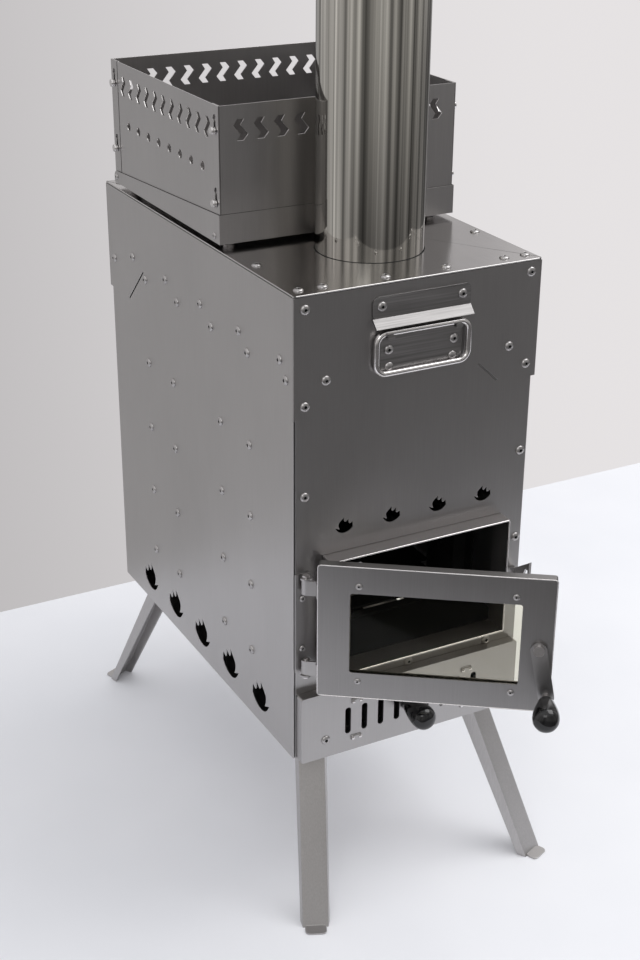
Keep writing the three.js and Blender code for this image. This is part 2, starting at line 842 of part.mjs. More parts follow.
function airPanel() {
  const top = zBase + airHeight;
  const shape = roundedRect(new THREE.Shape(), -airLeft, airRight, zBase, top, 3);
  for (const x of slotPlaces()) shape.holes.push(slotHole(x, slotZ, slotWidth, slotHeight));
  const run = new THREE.Path();
  const stem = shutterStem + gap;
  roundedRect(run, shutterKnobAt - stem, shutterKnobAt + shutterTravel + stem, slotZ - stem, slotZ + stem, stem / 2);
  shape.holes.push(run);
  const face = plate(shape, 'front', -airDepth, sheet, 5);
  const rimShape = roundedRect(new THREE.Shape(), -airLeft, airRight, zBase, top, 3);
  const rim = cut(
    plate(rimShape, 'front', -airDepth + sheet / 2, airDepth - sheet / 2 - gap, 5),
    box(-airLeft + sheet, airRight - sheet, -airDepth, 1, zBase + sheet, top - sheet),
  );
  const bridges = [];
  for (const side of [-1, 1]) {
    const x = airMiddle + side * (slotOuter - slotPitch / 2);
    for (const z of [slotZ + slotHeight / 2 + 7, slotZ - slotHeight / 2 - 7]) {
      bridges.push(box(
        x - bridgeLength / 2, x + bridgeLength / 2, -airDepth - bridgeRise, -airDepth + sheet / 2,
        z - bridgeWidth / 2, z + bridgeWidth / 2,
      ));
    }
  }
  return join(face, rim, ...bridges);
}

function airShutter() {
  const reach = slotOuter + slotWidth / 2 + shutterMargin;
  const rise = slotHeight / 2 + shutterMargin;
  const shape = roundedRect(
    new THREE.Shape(), airMiddle - reach, airMiddle + reach, slotZ - rise, slotZ + rise, 3,
  );
  for (const x of slotPlaces()) shape.holes.push(slotHole(x, slotZ, slotWidth, slotHeight));
  shape.holes.push(roundHole(shutterKnobAt, slotZ, shutterStem + gap));
  return plate(shape, 'front', -airDepth + sheet + gap, sheet, 5);
}

function shutterKnob() {
  const behind = sheet + gap + sheet + gap;
  const grip = knob();
  const stem = rod(shutterStem, behind + 4, 'z', 0, 0, -(behind + 4) / 2 + 1, 12);
  const nut = rod(shutterStem + 3, 2.5, 'z', 0, 0, -behind - gap - 1.25 - gap, 6);
  return facingFront(join(grip, stem, nut));
}

put('air_panel', airPanel(), mill);
put('air_shutter', airShutter(), sooty);
const pull = put('shutter_knob', shutterKnob(), glossBlack);
pull.position.set(shutterKnobAt, -airDepth - gap, slotZ);

// ---------------------------------------------------------------- legs

// In a leg's own frame X points outwards, the pin lies along Y, and the origin is the pin's centre.
const lean = Math.atan2(legSplay, standHeight);
const legFloor = -(standHeight - legPinDrop);
const legCeiling = legPinDrop - gap;

// Where the line a distance d outwards of the pin, square to the leg, meets the height z.
function legLine(d, z) {
  return (d - z * Math.sin(lean)) / Math.cos(lean);
}

function alongY(shape, from, thickness, curveSegments = 6) {
  return plate(shape, 'front', from, thickness, curveSegments);
}

// How far a flange stands outwards along Y at a place in the leg's own frame.
function flangeSpread(x, z) {
  const inward = legPinInset - x * Math.cos(lean) - z * Math.sin(lean);
  return inward * Math.tan(THREE.MathUtils.degToRad(legFlangeSplay));
}

function leg() {
  const outer = legPinInset;
  const inner = legPinInset - legSheet;
  const web = polygon([
    [legLine(outer, legCeiling), legCeiling], [legLine(inner, legCeiling), legCeiling],
    [legLine(inner, legFloor), legFloor], [legLine(outer, legFloor), legFloor],
  ]);
  const flange = new THREE.Shape();
  const meet = lean + Math.acos((outer - legFlangeTop) / legCeiling);
  flange.moveTo(legLine(outer, legFloor), legFloor);
  flange.lineTo(legLine(outer, legCeiling), legCeiling);
  flange.lineTo(0, legCeiling);
  flange.absarc(0, 0, legCeiling, Math.PI / 2, meet);
  flange.lineTo(legLine(outer - legFlangeFoot, legFloor), legFloor);
  flange.closePath();
  flange.holes.push(roundHole(0, 0, legPinRadius + pinRun));
  const foot = legLine(outer, legFloor);
  const tab = roundedRect(
    new THREE.Shape(), foot - legSheet, foot + footTab, -footTabWidth / 2, footTabWidth / 2, 5,
  );
  const flanges = [-1, 1].map((side) => {
    const flat = alongY(flange, side * (legWidth - legSheet) / 2 - legSheet / 2, legSheet);
    return flat.warp((point) => {
      point[1] += side * flangeSpread(point[0], point[2]);
    });
  });
  return join(
    alongY(web, -legWidth / 2, legWidth),
    ...flanges,
    plate(tab, 'flat', legFloor, legSheet),
  );
}

function legBracket() {
  const reach = legWidth / 2 - legSheet - gap;
  const under = legCeiling - legSheet;
  const outward = legLine(legPinInset - legSheet - 2 * gap, legCeiling);
  const base = box(-10, outward, -reach, reach, under, legCeiling);
  const ear = new THREE.Shape();
  ear.moveTo(-7, legCeiling - legSheet / 2);
  ear.lineTo(-legEarRadius, 0);
  ear.absarc(0, 0, legEarRadius, Math.PI, Math.PI * 2);
  ear.lineTo(legLine(legPinInset - legSheet - 2 * gap, legCeiling) - 0.5, legCeiling - legSheet / 2);
  ear.closePath();
  ear.holes.push(roundHole(0, 0, legPinRadius + pinRun));
  return join(
    base,
    alongY(ear, -reach, legSheet),
    alongY(ear, reach - legSheet, legSheet),
  );
}

function legPin() {
  const reach = legWidth / 2 + flangeSpread(-legPinHead, 0) + gap;
  return join(
    rod(legPinRadius, 2 * reach + 2, 'y', 0, 0, 0, 12),
    rod(legPinHead, 2, 'y', 0, -reach - 1, 0, 12),
    rod(legPinHead, 2, 'y', 0, reach + 1, 0, 12),
  );
}

const heading = THREE.MathUtils.degToRad(legHeading);
const pinBack = legLine(legPinInset, legPinDrop);
for (const [name, sideX, sideY] of [
  ['front_left', -1, -1], ['front_right', 1, -1], ['rear_left', -1, 1], ['rear_right', 1, 1],
]) {
  const outX = sideX * Math.sin(heading);
  const outY = sideY * Math.cos(heading);
  const faceX = sideX * (half - legInsetX);
  const faceY = sideY < 0 ? legInsetFront : lowerBack - legInsetRear;
  const station = new THREE.Group();
  station.position.set(faceX - outX * pinBack, faceY - outY * pinBack, zBase - legPinDrop);
  station.rotation.z = Math.atan2(outY, outX);
  stove.add(station);
  put(`leg_${name}`, leg(), mill, station);
  put(`leg_bracket_${name}`, legBracket(), mill, station);
  put(`leg_pin_${name}`, legPin(), bright, station);
}

// ---------------------------------------------------------------- handles

// In a handle's own frame the wall is at Y = 0 and the handle stands towards -Y.
function handlePlate() {
  const top = -handleTop;
  const fold = top - handleUpper;
  const face = -gap - handleSheet;
  const upper = roundedRect(new THREE.Shape(), -handleWidth / 2, handleWidth / 2, fold, top, 7);
  const hood = polygon([
    [face, fold + 2], [face + handleSheet, fold + 2], [face + handleSheet, fold],
    [face - hoodReach + handleSheet, fold - hoodDrop], [face - hoodReach, fold - hoodDrop],
  ]);
  const lowerHalf = handleLowerWidth / 2;
  const low = fold - handleLower;
  const lower = roundedRect(new THREE.Shape(), -lowerHalf, lowerHalf, low, fold + 12, 5);
  const axisZ = fold - bailDrop;
  const hookFrom = bailAxisY - bailWire - gap - handleSheet;
  const hook = polygon([
    [face + handleSheet / 2, axisZ - bailWire - gap], [hookFrom + handleSheet, axisZ - bailWire - gap],
    [hookFrom + handleSheet, axisZ - 1], [hookFrom, axisZ - 1],
    [hookFrom, axisZ - bailWire - gap - handleSheet], [face + handleSheet / 2, axisZ - bailWire - gap - handleSheet],
  ]);
  const hooks = [-1, 1].map((side) => plate(
    hook, 'side', side * (lowerHalf - hookWidth) - hookWidth / 2, hookWidth,
  ));
  return join(
    plate(upper, 'front', face, handleSheet, 4),
    plate(lower, 'front', face, handleSheet, 4),
    plate(hood, 'side', -handleWidth / 2, handleWidth),
    ...hooks,
  );
}

const bailAxisY = -gap - handleSheet - gap - bailWire;

// The bail is a closed wire loop, drawn with its top bar's axis at the origin.
function bail() {
  const reach = handleWidth / 2 - bailWire;
  const core = bailWire * 0.15;
  const loop = (grow) => [
    -reach - grow, reach + grow, -bailHeight - grow, grow, bailCorner + grow,
  ];
  const shape = roundedRect(new THREE.Shape(), ...loop(core));
  const hole = new THREE.Path();
  roundedRect(hole, ...loop(-core));
  shape.holes.push(hole);
  const geometry = new THREE.ExtrudeGeometry(shape, {
    depth: core * 2, bevelEnabled: true, bevelThickness: bailWire - core, bevelSize: bailWire - core,
    bevelSegments: 2, curveSegments: 4,
  });
  geometry.translate(0, 0, -core);
  geometry.rotateX(Math.PI / 2);
  return solid(geometry);
}

for (const [name, wallY, turn] of [['front', 0, 0], ['rear', bodyDepth, Math.PI]]) {
  const place = new THREE.Group();
  place.position.set(0, wallY, zTop);
  place.rotation.z = turn;
  stove.add(place);
  put(`handle_plate_${name}`, handlePlate(), bright, place);
  const ring = put(`handle_bail_${name}`, bail(), bright, place);
  ring.position.set(0, bailAxisY, -handleTop - handleUpper - bailDrop);
}

// ---------------------------------------------------------------- stone basket

const basketHalf = basketWidth / 2;
const basketRear = basketFront + basketLength;
const panelLow = basketZ + basketSheet + gap;
const sideFace = basketHalf - basketSheet - gap;          // outer face of the side panels
const tongueFace = sideFace - basketSheet - gap;          // what lies one sheet further in
const panelFront = basketFront + basketSheet + gap;       // outer face of the front panel
const panelRear = basketRear - basketSheet;               // outer face of the back panel

function basketTray() {
  const floor = box(-basketHalf, basketHalf, basketFront, basketRear, basketZ, basketZ + basketSheet);
  const front = box(
    -basketHalf, basketHalf, basketFront, basketFront + basketSheet, basketZ, basketZ + trayFrontWall,
  );
  const rise = trayRearWall;
  const wall = new THREE.Shape();
  wall.moveTo(basketFront, basketZ);
  wall.lineTo(basketRear, basketZ);
  wall.absarc(basketRear - rise / 2, basketZ + rise / 2, rise / 2, 0, Math.PI / 2);
  wall.lineTo(basketFront, basketZ + trayFrontWall);
  wall.closePath();
  const walls = [-basketHalf, basketHalf - basketSheet].map((x) => plate(wall, 'side', x, basketSheet));
  const feet = [];
  for (const x of [-basketHalf + 20, basketHalf - 20]) {
    for (const y of [basketFront + 20, basketRear - 20]) {
      feet.push(rod(basketFootRadius, basketFoot - gap + 0.5, 'z', x, y, zTop + gap + (basketFoot - gap + 0.5) / 2, 12));
    }
  }
  return join(floor, front, ...walls, ...feet);
}

function studs(x, y, side) {
  return studDrops.map((drop) => {
    const z = zRim - drop;
    const reach = studOut + basketSheet + gap + basketSheet / 2;
    return join(
      rod(studShankRadius, reach, 'x', x + side * reach / 2, y, z, 10),
      rod(studHeadRadius, studOut - 1, 'x', x + side * (reach - (studOut - 1) / 2), y, z, 12),
    );
  }).reduce((sum, body) => sum.add(body));
}

function basketFrontPanel() {
  const edge = tongueFace;
  const shape = polygon([[-edge, panelLow], [edge, panelLow], [edge, zRim], [-edge, zRim]]);
  for (const x of centred(zigzagCount, 0, zigzagPitch)) shape.holes.push(zigzagHole(x, zRim - zigzagDrop, -1));
  const back = panelFront + basketReturn;
  const returns = [-edge, edge - basketSheet].map((x) => box(
    x, x + basketSheet, panelFront, back, panelLow, zRim,
  ));
  const y = panelFront + studFromCorner;
  return join(
    plate(shape, 'front', panelFront, basketSheet, 4), ...returns,
    studs(-edge + basketSheet / 2, y, -1), studs(edge - basketSheet / 2, y, 1),
  );
}

function basketSidePanel(side) {
  const joggle = panelRear - basketReturn - 2;
  const front = panelFront + gap;
  const shape = polygon([[front, panelLow], [joggle, panelLow], [joggle, zRim], [front, zRim]]);
  const middle = (basketFront + basketRear) / 2 - 3;
  for (const y of centred(zigzagCount, middle, zigzagPitch)) {
    shape.holes.push(zigzagHole(y, zRim - zigzagDrop, -1));
  }
  for (const y of centred(portCount, middle, portPitch)) shape.holes.push(roundHole(y, zRim - portDrop, portRadius));
  for (const drop of studDrops) shape.holes.push(keyhole(panelFront + studFromCorner, zRim - drop));
  const place = (face) => side < 0 ? -face : face - basketSheet;
  const rear = panelRear - basketSheet - gap;
  const step = side < 0 ? [-sideFace, -tongueFace + basketSheet] : [tongueFace - basketSheet, sideFace];
  const tongue = place(tongueFace);
  return join(
    plate(shape, 'side', place(sideFace), basketSheet, 5),
    box(...step, joggle - basketSheet, joggle, panelLow, zRim),
    box(tongue, tongue + basketSheet, joggle - basketSheet / 2, rear, panelLow, zRim),
    studs(side * (tongueFace - basketSheet / 2), panelRear - studFromCorner, side),
  );
}

function basketBackPanel() {
  const shape = polygon([[-sideFace, panelLow], [sideFace, panelLow], [sideFace, zRim], [-sideFace, zRim]]);
  for (const x of centred(zigzagCount, 0, zigzagPitch)) shape.holes.push(zigzagHole(x, zRim - zigzagDrop, 1));
  const from = panelRear - basketReturn;
  const behind = panelRear - basketSheet / 2;
  const returns = [-sideFace, sideFace - basketSheet].map((x) => {
    const flap = polygon([[from, panelLow], [behind, panelLow], [behind, zRim], [from, zRim]]);
    for (const drop of studDrops) flap.holes.push(keyhole(panelRear - studFromCorner, zRim - drop));
    return plate(flap, 'side', x, basketSheet, 5);
  });
  return join(plate(shape, 'front', panelRear - basketSheet, basketSheet, 4), ...returns);
}

put('basket_tray', basketTray(), brushed);
put('basket_front_panel', basketFrontPanel(), brushed);
put('basket_left_panel', basketSidePanel(-1), brushed);
put('basket_right_panel', basketSidePanel(1), brushed);
put('basket_back_panel', basketBackPanel(), brushed);

// ---------------------------------------------------------------- origin

stove.updateMatrixWorld(true);
const bounds = new THREE.Box3().setFromObject(stove, true);
const middle = bounds.getCenter(new THREE.Vector3());
stove.position.set(-middle.x, -middle.y, -bounds.min.z);

export default stove;
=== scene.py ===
"""Looks for a tent wood stove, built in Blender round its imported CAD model.

Metres, +Z up, in the frame of the CAD: the door faces -Y, and the floor is Z = 0.
"""
import json
import math

import bmesh
import bpy
from mathutils import Matrix, Vector


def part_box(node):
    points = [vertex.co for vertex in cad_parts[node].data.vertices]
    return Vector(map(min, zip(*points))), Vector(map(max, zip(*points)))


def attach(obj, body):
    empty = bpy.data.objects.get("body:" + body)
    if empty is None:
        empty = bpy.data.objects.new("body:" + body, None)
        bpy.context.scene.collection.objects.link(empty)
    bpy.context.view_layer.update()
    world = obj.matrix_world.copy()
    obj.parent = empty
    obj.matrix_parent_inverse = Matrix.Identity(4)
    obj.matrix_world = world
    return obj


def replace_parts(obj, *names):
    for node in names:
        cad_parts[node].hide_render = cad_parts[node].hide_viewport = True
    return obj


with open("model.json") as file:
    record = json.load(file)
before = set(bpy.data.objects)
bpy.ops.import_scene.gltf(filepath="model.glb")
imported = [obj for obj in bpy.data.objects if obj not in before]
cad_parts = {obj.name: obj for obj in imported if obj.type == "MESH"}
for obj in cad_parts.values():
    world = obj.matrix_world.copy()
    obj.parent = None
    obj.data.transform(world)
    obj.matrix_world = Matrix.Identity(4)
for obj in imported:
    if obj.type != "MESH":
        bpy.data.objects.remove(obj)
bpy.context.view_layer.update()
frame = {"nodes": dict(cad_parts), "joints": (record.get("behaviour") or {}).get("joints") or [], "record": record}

MM = 0.001

# ---------------------------------------------------------------- sizes, as in the CAD

BAND_LOW = 589 * MM             # the height at which the body's upper band steps out
BACK_STEP = 8 * MM              # how far the band stands past the lower back
DOOR_OPEN = 35.2                # degrees
DOOR_NEAR = 14 * MM             # from the hinge's axis to the door's hinged edge
DOOR_WIDTH = 243 * MM
DOOR_HEIGHT = 155 * MM
DOOR_CORNER = 3 * MM
DOOR_FACE = 13.5 * MM           # how far the door's face stands in front of the hinge's axis
LEVER_TILT = 11                 # degrees
LEVER_LENGTH = 56 * MM
LEVER_SHEET = 3 * MM
STUD_LENGTH = 9 * MM            # the stud that carries a knob, and how deep it is sunk in the lever
STUD_SUNK = 0.5 * MM
COLLAR_WIDTH = 222 * MM
COLLAR_SHEET = 1.5 * MM
COLLAR_FLANGE = 9 * MM
AIR_PANEL_DEPTH = 12.5 * MM     # from the front panel's face to the air panel's
AIR_BRIDGE_RISE = 2 * MM
PLATE_RISE = 1.8 * MM           # from the body to the face of a handle plate
PIECE_GAP = 0.3 * MM            # clearance between pieces that touch

# ---------------------------------------------------------------- places taken from the frame

top_low, top_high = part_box("top_plate")
left = top_low.x
right = top_high.x
front = top_low.y
rear = top_high.y
top = top_high.z
lower_rear = rear - BACK_STEP
pipe_low, pipe_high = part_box("chimney_pipe")
pipe_x = (pipe_low.x + pipe_high.x) / 2
pipe_y = (pipe_low.y + pipe_high.y) / 2

door_joint = next(j for j in frame["joints"] if j["name"] == "door_hinge")
latch_joint = next(j for j in frame["joints"] if j["name"] == "latch_pivot")
hinge = Vector(door_joint["pos_m"])
pivot = Vector(latch_joint["pos_m"])
door_angle = math.radians(-DOOR_OPEN)
door_turn = Matrix.Translation(hinge) @ Matrix.Rotation(door_angle, 4, "Z")


# ---------------------------------------------------------------- materials

def new_material(name):
    material = bpy.data.materials.new(name)
    material.use_nodes = True
    nodes = material.node_tree.nodes
    return material, nodes, material.node_tree.links, nodes["Principled BSDF"]


def grey(value, warm=0.0):
    """A grey, with more red and less blue in it the warmer it is."""
    return (value * (1 + warm), value, value * (1 - warm * 0.2), 1)


def noise(nodes, links, scale, stretch, detail=3.0, roughness=0.6):
    """Noise over the object's own coordinates, stretched by a scale along each axis."""
    place = nodes.new("ShaderNodeTexCoord")
    mapping = nodes.new("ShaderNodeMapping")
    mapping.inputs["Scale"].default_value = stretch
    texture = nodes.new("ShaderNodeTexNoise")
    texture.inputs["Scale"].default_value = scale
    texture.inputs["Detail"].default_value = detail
    texture.inputs["Roughness"].default_value = roughness
    links.new(place.outputs["Object"], mapping.inputs["Vector"])
    links.new(mapping.outputs["Vector"], texture.inputs["Vector"])
    return texture.outputs["Fac"]


def ramp(nodes, links, value, stops):
    """A colour ramp of (position, colour) stops, driven by a value."""
    node = nodes.new("ShaderNodeValToRGB")
    elements = node.color_ramp.elements
    elements[0].position, elements[0].color = stops[0]
    elements[1].position, elements[1].color = stops[-1]
    for position, colour in stops[1:-1]:
        elements.new(position).color = colour
    links.new(value, node.inputs["Fac"])
    return node.outputs["Color"]


def spread(nodes, links, value, low, high):
    """A noise value of about 0.3 to 0.7, spread over low to high."""
    node = nodes.new("ShaderNodeMapRange")
    node.inputs["From Min"].default_value = 0.3
    node.inputs["From Max"].default_value = 0.7
    node.inputs["To Min"].default_value = low
    node.inputs["To Max"].default_value = high
    links.new(value, node.inputs["Value"])
    return node.outputs["Result"]


def blend_colours(nodes, links, kind, factor, a, b):
    """Two colours put together by a blend mode, such as MULTIPLY."""
    node = nodes.new("ShaderNodeMix")
    node.data_type = "RGBA"
    node.blend_type = kind
    node.inputs["Factor"].default_value = factor
    links.new(a, node.inputs["A"])
    links.new(b, node.inputs["B"])
    return node.outputs["Result"]


def bump(nodes, links, shader, height, strength, distance):
    """Fine relief on a shader, from a height pattern."""
    node = nodes.new("ShaderNodeBump")
    node.inputs["Strength"].default_value = strength
    node.inputs["Distance"].default_value = distance
    links.new(height, node.inputs["Height"])
    links.new(node.outputs["Normal"], shader.inputs["Normal"])


def steel(name, tone, rough, grain=(1, 1, 0.02), grain_scale=900, streak=0.06, patch=0.08, warm=0.03):
    """Rolled stainless sheet: fine grain along one axis, over broad clouds of tone."""
    material, nodes, links, shader = new_material(name)
    fine = noise(nodes, links, grain_scale, grain, detail=2.0)
    broad = noise(nodes, links, 5.0, (1, 1, 0.6), detail=4.0)
    lined = ramp(nodes, links, fine, [
        (0.3, grey(tone * (1 - streak), warm)), (0.7, grey(tone * (1 + streak), warm)),
    ])
    clouded = ramp(nodes, links, broad, [
        (0.3, grey(1 - patch)), (0.7, grey(1.0)),
    ])
    colour = blend_colours(nodes, links, "MULTIPLY", 1.0, lined, clouded)
    links.new(colour, shader.inputs["Base Color"])
    links.new(spread(nodes, links, fine, rough - 0.015, rough + 0.015), shader.inputs["Roughness"])
    shader.inputs["Metallic"].default_value = 1.0
    bump(nodes, links, shader, fine, 0.02, 0.00003)
    return material


def mirror_steel(name):
    """Bright tube whose wall is slightly wavy round its girth, so reflections run in upright streaks; upright
    light and dark streaks are also painted into its colour as painted reflections.
    """
    material, nodes, links, shader = new_material(name)
    wave = noise(nodes, links, 34.0, (1, 1, 0.02), detail=2.0, roughness=0.5)
    painted_streak_noise = noise(nodes, links, 75.0, (1, 1, 0.008), detail=3.0, roughness=0.6)
    # Painted reflection: upright light and dark streaks in the base colour; the same noise also varies the
    # roughness.
    tint = ramp(nodes, links, painted_streak_noise, [
        (0.36, (0.30, 0.29, 0.265, 1)), (0.5, (0.44, 0.425, 0.39, 1)), (0.66, (0.66, 0.64, 0.59, 1)),
    ])
    links.new(tint, shader.inputs["Base Color"])
    links.new(spread(nodes, links, painted_streak_noise, 0.035, 0.08), shader.inputs["Roughness"])
    shader.inputs["Metallic"].default_value = 1.0
    bump(nodes, links, shader, wave, 0.35, 0.0016)
    return material


def soot_and_shade_sheet(name, tone=0.018):
    """Dull near-black sheet with faint clouds: the fire's blackening inside the stove, and painted shade in gaps
    and recesses.
    """
    material, nodes, links, shader = new_material(name)
    cloud = noise(nodes, links, 14.0, (1, 1, 0.5), detail=5.0)
    links.new(ramp(nodes, links, cloud, [
        (0.3, grey(tone * 0.6, -0.02)), (0.7, grey(tone * 1.4, -0.03)),
    ]), shader.inputs["Base Color"])
    links.new(spread(nodes, links, cloud, 0.7, 0.9), shader.inputs["Roughness"])
    shader.inputs["Metallic"].default_value = 0.1
    shader.inputs["Specular IOR Level"].default_value = 0.15
    bump(nodes, links, shader, cloud, 0.15, 0.0005)
    return material


def black_resin(name):
    """Glossy moulded resin of the knobs."""
    material, nodes, links, shader = new_material(name)
    fleck = noise(nodes, links, 60.0, (1, 1, 1), detail=3.0)
    links.new(ramp(nodes, links, fleck, [
        (0.3, (0.004, 0.004, 0.004, 1)), (0.7, (0.010, 0.010, 0.011, 1)),
    ]), shader.inputs["Base Color"])
    links.new(spread(nodes, links, fleck, 0.07, 0.13), shader.inputs["Roughness"])
    return material


def window_glass(name):
    """Clear heat-proof glass with a slight yellow tint and little gloss."""
    material, nodes, links, shader = new_material(name)
    haze = noise(nodes, links, 20.0, (1, 1, 1), detail=4.0)
    links.new(ramp(nodes, links, haze, [
        (0.3, (0.80, 0.78, 0.66, 1)), (0.7, (0.86, 0.84, 0.73, 1)),
    ]), shader.inputs["Base Color"])
    links.new(spread(nodes, links, haze, 0.0, 0.01), shader.inputs["Roughness"])
    shader.inputs["Transmission Weight"].default_value = 1.0
    shader.inputs["IOR"].default_value = 1.12
    return material


# Which way a sheet's grain runs: the pattern is stretched along the axis with the small number.
upright = (1, 1, 0.02)
lengthways = (0.02, 1, 1)
front_to_back = (1, 0.02, 1)
even = (1, 1, 1)

# The front panel and the door use the sides' stainless in darker tones: painted shade for the darker room that
# their faces reflect.
side_steel = steel("side_steel", 0.46, 0.36, upright, streak=0.03)
front_steel_painted_shade = steel("front_steel_painted_shade", 0.38, 0.33, upright, streak=0.03)
top_steel = steel("top_steel", 0.50, 0.17, front_to_back, patch=0.12, streak=0.03)
door_steel_painted_shade = steel("door_steel_painted_shade", 0.30, 0.32, upright, streak=0.03)
trim_steel = steel("trim_steel", 0.40, 0.30, upright, streak=0.02)
inner_steel = steel("inner_steel", 0.48, 0.38, upright, warm=0.05)
leg_steel = steel("leg_steel", 0.46, 0.34, upright)
basket_steel = steel("basket_steel", 0.46, 0.30, upright, streak=0.03)
hood_steel = steel("hood_steel", 0.33, 0.40, lengthways, grain_scale=500, streak=0.22, patch=0.3)
# Bright steel of the bails and pins, also used as a painted highlight on the collar's hem and the door's rolled
# edge.
polished_and_highlight = steel("polished_steel_and_painted_highlight", 0.72, 0.12, even, grain_scale=80, streak=0.04, patch=0.05)
rivet_steel = steel("rivet_steel", 0.44, 0.30, even, grain_scale=300, streak=0.1)
pipe_steel = mirror_steel("pipe_steel")
# Near-black sheet for the fire's blackening inside the stove, and for painted shadow in the gap round the pipe and
# along the tray's edge.
soot_and_painted_shade = soot_and_shade_sheet("soot_and_painted_shade_steel")
# Painted shade: near-black for the recesses of rivet heads and for the flue socket.
hollow_painted_shade = soot_and_shade_sheet("socket_shadow", 0.006)
resin = black_resin("black_resin")
glass = window_glass("window_glass")


# ---------------------------------------------------------------- mesh helpers

def link(piece):
    """Puts a new object in the scene."""
    bpy.context.scene.collection.objects.link(piece)
    return piece


def finished(mesh, name, material, body):
    """A mesh as a piece of the stove: its name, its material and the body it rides."""
    piece = link(bpy.data.objects.new(name, mesh))
    mesh.materials.clear()
    mesh.materials.append(material)
    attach(piece, body)
    return piece


def mesh_of(work, name):
    """The mesh built up in work, with its faces turned outwards."""
    bmesh.ops.recalc_face_normals(work, faces=work.faces)
    mesh = bpy.data.meshes.new(name)
    work.to_mesh(mesh)
    work.free()
    return mesh


def join_rings(work, rings):
    """Faces from each ring of vertices to the next, and one over each end."""
    for near, far in zip(rings, rings[1:]):
        for k in range(len(near)):
            after = (k + 1) % len(near)
            work.faces.new([near[k], near[after], far[after], far[k]])
    work.faces.new(rings[0][::-1])
    work.faces.new(rings[-1])


def smooth_by_angle(mesh, degrees=35):
    """Shades smooth, with a hard edge wherever two faces meet at more than the angle."""
    work = bmesh.new()
    work.from_mesh(mesh)
    limit = math.radians(degrees)
    for face in work.faces:
        face.smooth = True
    for edge in work.edges:
        edge.smooth = len(edge.link_faces) == 2 and edge.calc_face_angle(0) < limit
    work.to_mesh(mesh)
    work.free()


def body_of_node(node):
    """The body that a CAD node belongs to."""
    for body, nodes in frame["record"]["behaviour"]["bodies"].items():
        if node in nodes:
            return body
    raise ValueError(node)


def eased(node, material, width=0.32 * MM, segments=2, shortest=0.25 * MM, spare=None, inward=None):
    """A copy of a CAD sheet with its sharp edges rolled over, shown in place of the node.

    spare says, from an edge's middle, which edges stay sharp. Faces that look inward get the fire's blackening.
    """
    mesh = frame["nodes"][node].data.copy()
    mesh.materials.clear()
    work = bmesh.new()
    work.from_mesh(mesh)
    bmesh.ops.remove_doubles(work, verts=work.verts, dist=0.002 * MM)
    bmesh.ops.dissolve_limit(
        work, angle_limit=math.radians(0.5), verts=work.verts, edges=work.edges, delimit={"NORMAL"},
    )
    sharp = math.radians(40)
    edges = [
        edge for edge in work.edges
        if len(edge.link_faces) == 2 and edge.calc_length() > shortest and edge.calc_face_angle(0) > sharp
        and not (spare and spare((edge.verts[0].co + edge.verts[1].co) / 2))
    ]
    bmesh.ops.bevel(
        work, geom=edges, offset=width, offset_type="OFFSET", segments=segments, profile=0.5,
        affect="EDGES", clamp_overlap=False,
    )
    bmesh.ops.dissolve_degenerate(work, dist=0.01 * MM, edges=work.edges)
    bmesh.ops.triangulate(work, faces=[face for face in work.faces if len(face.verts) > 4])
    if inward:
        for face in work.faces:
            face.material_index = int(face.normal.dot(Vector(inward)) > 0.7)
    work.to_mesh(mesh)
    work.free()
    smooth_by_angle(mesh)
    piece = finished(mesh, node + "_dressed", material, body_of_node(node))
    if inward:
        mesh.materials.append(soot_and_painted_shade)
    weighted = piece.modifiers.new("flat_faces_lead", "WEIGHTED_NORMAL")
    weighted.keep_sharp = True
    weighted.weight = 100
    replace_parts(piece, node)
    return piece


def lathe(work, profile, place, sides=24):
    """Turns (radius, height) points round local Z, and puts the result in place."""
    rings = []
    for radius, height in profile:
        if radius < 1e-7:
            rings.append([work.verts.new(place @ Vector((0, 0, height)))])
            continue
        angles = [2 * math.pi * k / sides for k in range(sides)]
        rings.append([
            work.verts.new(place @ Vector((radius * math.cos(angle), radius * math.sin(angle), height)))
            for angle in angles
        ])
    for lower, upper in zip(rings, rings[1:]):
        for k in range(sides):
            after = (k + 1) % sides
            corners = [lower[k % len(lower)], lower[after % len(lower)],
                       upper[after % len(upper)], upper[k % len(upper)]]
            distinct = list(dict.fromkeys(corners))
            if len(distinct) > 2:
                work.faces.new(distinct)


def facing(direction, origin):
    """A placement whose local Z points along direction."""
    turn = Vector(direction).to_track_quat("Z", "Y").to_matrix().to_4x4()
    return Matrix.Translation(Vector(origin)) @ turn


def turned_piece(name, material, body, parts, sides=24):
    """One piece of many turned forms: parts is a list of (profile, placement)."""
    work = bmesh.new()
    for profile, place in parts:
        lathe(work, profile, place, sides)
    mesh = mesh_of(work, name)
    smooth_by_angle(mesh)
    return finished(mesh, name, material, body)


# ---------------------------------------------------------------- fasteners

# Each kind of head as (radius, height) in mm, with the hollow that its pin or driver leaves, if any, as a
# near-black disc of painted shade sunk in the head.
RIVET = {
    "head": [
        (5.3, -0.2), (5.3, 0.3), (5.0, 1.0), (4.4, 1.6), (3.6, 2.05), (2.7, 2.35), (2.05, 2.4),
        (1.75, 2.2), (1.7, 0.8), (0, 0.8),
    ],
    "hollow": [(1.65, 1.6), (0, 1.55)],
}
SMALL_RIVET = {
    "head": [
        (3.7, -0.2), (3.7, 0.3), (3.4, 0.9), (2.8, 1.35), (2.0, 1.6), (1.3, 1.6), (1.05, 1.4),
        (1.0, 0.5), (0, 0.5),
    ],
    "hollow": [(0.95, 0.95), (0, 0.9)],
}
CAP = {"head": [(5.0, -0.2), (5.0, 0.6), (4.4, 1.3), (3.0, 1.9), (1.5, 2.2), (0, 2.3)]}
BRIDGE_STUD = {"head": [(1.8, -0.2), (1.8, 0.5), (1.3, 0.9), (0, 1.0)]}


